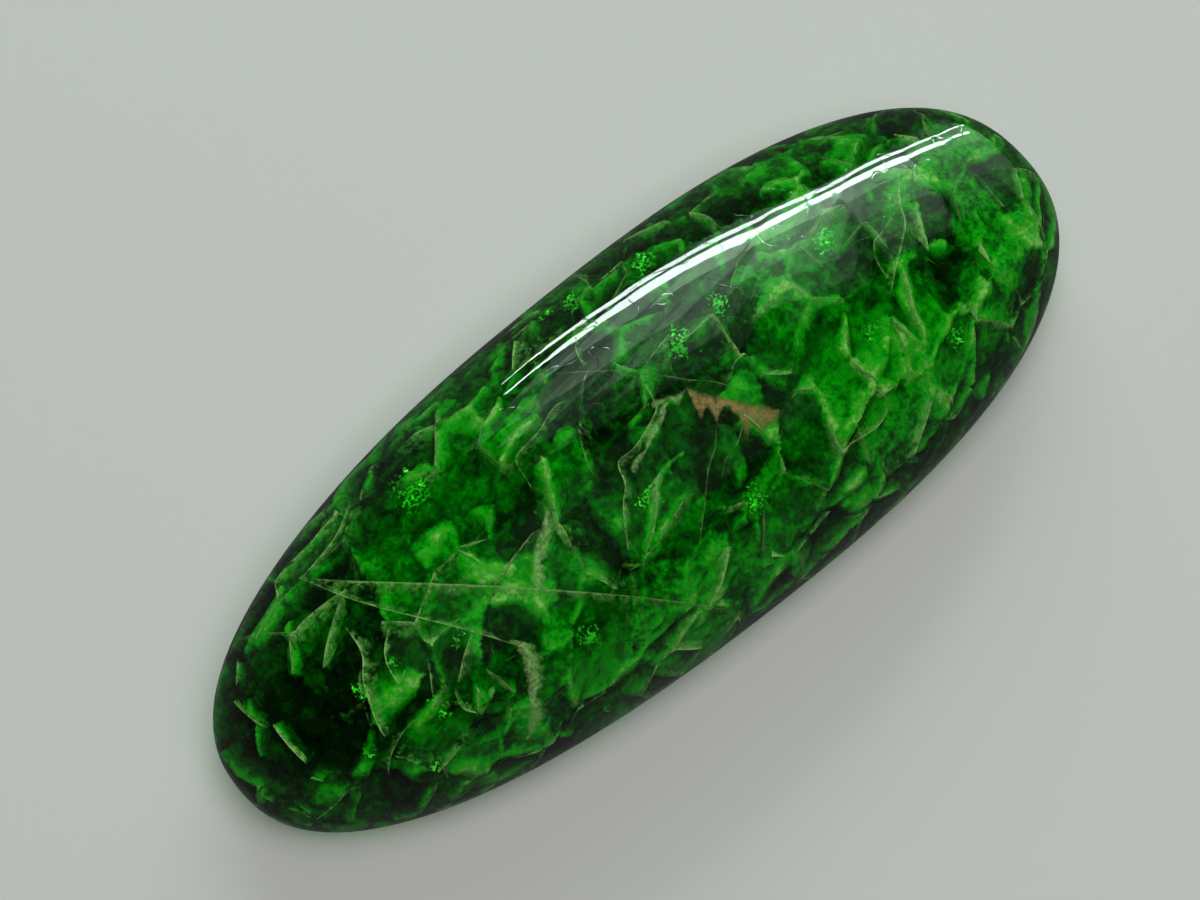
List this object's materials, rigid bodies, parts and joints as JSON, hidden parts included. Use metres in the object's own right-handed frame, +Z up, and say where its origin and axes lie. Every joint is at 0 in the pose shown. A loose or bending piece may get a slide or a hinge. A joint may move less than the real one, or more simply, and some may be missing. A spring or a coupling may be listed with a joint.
{
  "type": "chrome diopside cabochon",
  "caption": "Long oval cabochon of deep green translucent crystal with a high polished dome, a rolled edge and a flat ground back.",
  "frame": {"origin": "middle of the flat ground back, which the stone rests on", "axes": "+X along the stone towards its slightly wider end, +Y across it, +Z up out of the back towards the top of the dome"},
  "size_m": [0.042, 0.016, 0.009],
  "materials": {
    "chrome_diopside": "polished"
  },
  "bodies": {
    "root": {"diopside_cabochon": "chrome_diopside"}
  },
  "joints": []
}
